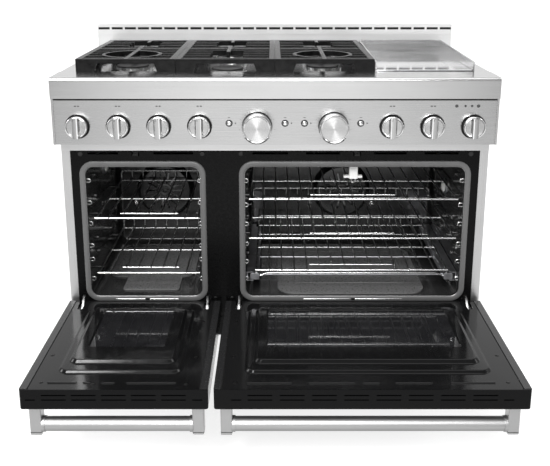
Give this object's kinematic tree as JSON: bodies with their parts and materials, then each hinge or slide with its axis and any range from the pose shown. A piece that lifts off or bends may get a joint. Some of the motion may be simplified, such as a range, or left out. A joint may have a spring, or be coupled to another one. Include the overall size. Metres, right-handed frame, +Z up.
{
  "type": "freestanding gas range",
  "caption": "Wide freestanding gas range with paired drop-down oven doors, cast grates over the hob, a polished griddle, wire racks and a control panel of knobs and dials.",
  "frame": {"origin": "centre of the bounding box at floor level, with both doors hanging open", "axes": "+X to the right seen from the front, front faces -Y, +Z up"},
  "size_m": [1.216, 1.145, 1],
  "materials": {
    "stainless": "brushed",
    "satin_metal": "satin",
    "black_enamel": "gloss",
    "cast_iron": "matt",
    "chrome_wire": "polished",
    "zinc_steel": "plated",
    "aluminium": "cast",
    "gasket_fibre": "woven",
    "window_glass": "dark",
    "brass": "plain",
    "plastic": "moulded",
    "polished_plate": "mirror"
  },
  "bodies": {
    "root": {"base_frame": "zinc_steel", "leveling_legs": "zinc_steel", "kick_panel": "black_enamel", "side_panels": "stainless", "rear_panel": "zinc_steel", "front_frame": "black_enamel", "front_trim": "stainless", "oven_liner_left": "black_enamel", "oven_liner_right": "black_enamel", "gaskets": "gasket_fibre", "fan_covers": "black_enamel", "fan_motors": "zinc_steel", "oven_burners": "zinc_steel", "floor_plates": "black_enamel", "rollout_base": "zinc_steel", "frame_hardware": "zinc_steel", "control_panel": "stainless", "panel_bezels": "satin_metal", "gas_supply": "brass", "control_unit": "plastic", "bullnose": "stainless", "cooktop_deck": "stainless", "burner_heads": "aluminium", "burner_caps": "black_enamel", "griddle_frame": "zinc_steel", "griddle_plate": "polished_plate", "backguard": "stainless"},
    "door_left": {"door_left_skin": "black_enamel", "door_left_liner": "black_enamel", "door_left_glass": "window_glass", "door_left_handle": "stainless", "door_left_hinges": "zinc_steel"},
    "door_right": {"door_right_skin": "black_enamel", "door_right_liner": "black_enamel", "door_right_glass": "window_glass", "door_right_handle": "stainless", "door_right_hinges": "zinc_steel"},
    "knob_1": {"knob_1": "satin_metal"},
    "knob_2": {"knob_2": "satin_metal"},
    "knob_3": {"knob_3": "satin_metal"},
    "knob_4": {"knob_4": "satin_metal"},
    "knob_5": {"knob_5": "satin_metal"},
    "knob_6": {"knob_6": "satin_metal"},
    "knob_7": {"knob_7": "satin_metal"},
    "dial_left": {"dial_left": "satin_metal"},
    "dial_right": {"dial_right": "satin_metal"},
    "button_1": {"button_1": "satin_metal"},
    "button_2": {"button_2": "satin_metal"},
    "button_3": {"button_3": "satin_metal"},
    "button_4": {"button_4": "satin_metal"},
    "rack_left_upper": {"rack_left_upper": "chrome_wire"},
    "rack_left_lower": {"rack_left_lower": "chrome_wire"},
    "rack_right_upper": {"rack_right_upper": "chrome_wire"},
    "rack_right_middle": {"rack_right_middle": "chrome_wire"},
    "rollout_rack": {"rollout_rack": "chrome_wire"},
    "fan_wheel_left": {"fan_wheel_left": "aluminium"},
    "fan_wheel_right": {"fan_wheel_right": "aluminium"},
    "grate_left": {"grate_left": "cast_iron"},
    "grate_centre": {"grate_centre": "cast_iron"},
    "grate_right": {"grate_right": "cast_iron"}
  },
  "joints": [
    {"name": "door_left_hinge", "type": "hinge", "parent": "root", "child": "door_left", "pos_m": [-0.382, -0.0775, 0.219], "axis": [-1, 0, 0], "range_deg": [0, 90]},
    {"name": "door_right_hinge", "type": "hinge", "parent": "root", "child": "door_right", "pos_m": [0.2295, -0.0775, 0.219], "axis": [-1, 0, 0], "range_deg": [0, 90]},
    {"name": "knob_1_turn", "type": "hinge", "parent": "root", "child": "knob_1", "pos_m": [-0.539, -0.1275, 0.78], "axis": [0, -1, 0], "range_deg": [0, 240]},
    {"name": "knob_2_turn", "type": "hinge", "parent": "root", "child": "knob_2", "pos_m": [-0.4277, -0.1275, 0.78], "axis": [0, -1, 0], "range_deg": [0, 240]},
    {"name": "knob_3_turn", "type": "hinge", "parent": "root", "child": "knob_3", "pos_m": [-0.3174, -0.1275, 0.78], "axis": [0, -1, 0], "range_deg": [0, 240]},
    {"name": "knob_4_turn", "type": "hinge", "parent": "root", "child": "knob_4", "pos_m": [-0.206, -0.1275, 0.78], "axis": [0, -1, 0], "range_deg": [0, 240]},
    {"name": "knob_5_turn", "type": "hinge", "parent": "root", "child": "knob_5", "pos_m": [0.3184, -0.1275, 0.78], "axis": [0, -1, 0], "range_deg": [0, 240]},
    {"name": "knob_6_turn", "type": "hinge", "parent": "root", "child": "knob_6", "pos_m": [0.4294, -0.1275, 0.78], "axis": [0, -1, 0], "range_deg": [0, 240]},
    {"name": "knob_7_turn", "type": "hinge", "parent": "root", "child": "knob_7", "pos_m": [0.5404, -0.1275, 0.78], "axis": [0, -1, 0], "range_deg": [0, 240]},
    {"name": "dial_left_turn", "type": "hinge", "parent": "root", "child": "dial_left", "pos_m": [-0.049, -0.1375, 0.78], "axis": [0, 1, 0], "range_deg": [0, 270]},
    {"name": "dial_right_turn", "type": "hinge", "parent": "root", "child": "dial_right", "pos_m": [0.1589, -0.1375, 0.78], "axis": [0, 1, 0], "range_deg": [0, 270]},
    {"name": "button_1_press", "type": "slide", "parent": "root", "child": "button_1", "axis": [0, 1, 0], "range_m": [0, 0.002], "stiffness_N_per_m": 400},
    {"name": "button_2_press", "type": "slide", "parent": "root", "child": "button_2", "axis": [0, 1, 0], "range_m": [0, 0.002], "stiffness_N_per_m": 400},
    {"name": "button_3_press", "type": "slide", "parent": "root", "child": "button_3", "axis": [0, 1, 0], "range_m": [0, 0.002], "stiffness_N_per_m": 400},
    {"name": "button_4_press", "type": "slide", "parent": "root", "child": "button_4", "axis": [0, 1, 0], "range_m": [0, 0.002], "stiffness_N_per_m": 400},
    {"name": "rack_left_upper_slide", "type": "slide", "parent": "root", "child": "rack_left_upper", "axis": [0, 1, 0], "range_m": [-0.3, 0]},
    {"name": "rack_left_lower_slide", "type": "slide", "parent": "root", "child": "rack_left_lower", "axis": [0, 1, 0], "range_m": [-0.3, 0]},
    {"name": "rack_right_upper_slide", "type": "slide", "parent": "root", "child": "rack_right_upper", "axis": [0, 1, 0], "range_m": [-0.3, 0]},
    {"name": "rack_right_middle_slide", "type": "slide", "parent": "root", "child": "rack_right_middle", "axis": [0, 1, 0], "range_m": [-0.3, 0]},
    {"name": "rollout_rack_slide", "type": "slide", "parent": "root", "child": "rollout_rack", "axis": [0, 1, 0], "range_m": [-0.3, 0]},
    {"name": "fan_wheel_left_spin", "type": "hinge", "parent": "root", "child": "fan_wheel_left", "pos_m": [-0.378, 0.4175, 0.446], "axis": [0, 1, 0], "continuous": true},
    {"name": "fan_wheel_right_spin", "type": "hinge", "parent": "root", "child": "fan_wheel_right", "pos_m": [0.23, 0.4175, 0.444], "axis": [0, 1, 0], "continuous": true},
    {"name": "grate_left_lift", "type": "slide", "parent": "root", "child": "grate_left", "axis": [0, 0, 1], "range_m": [0, 0.12]},
    {"name": "grate_centre_lift", "type": "slide", "parent": "root", "child": "grate_centre", "axis": [0, 0, 1], "range_m": [0, 0.12]},
    {"name": "grate_right_lift", "type": "slide", "parent": "root", "child": "grate_right", "axis": [0, 0, 1], "range_m": [0, 0.12]}
  ]
}
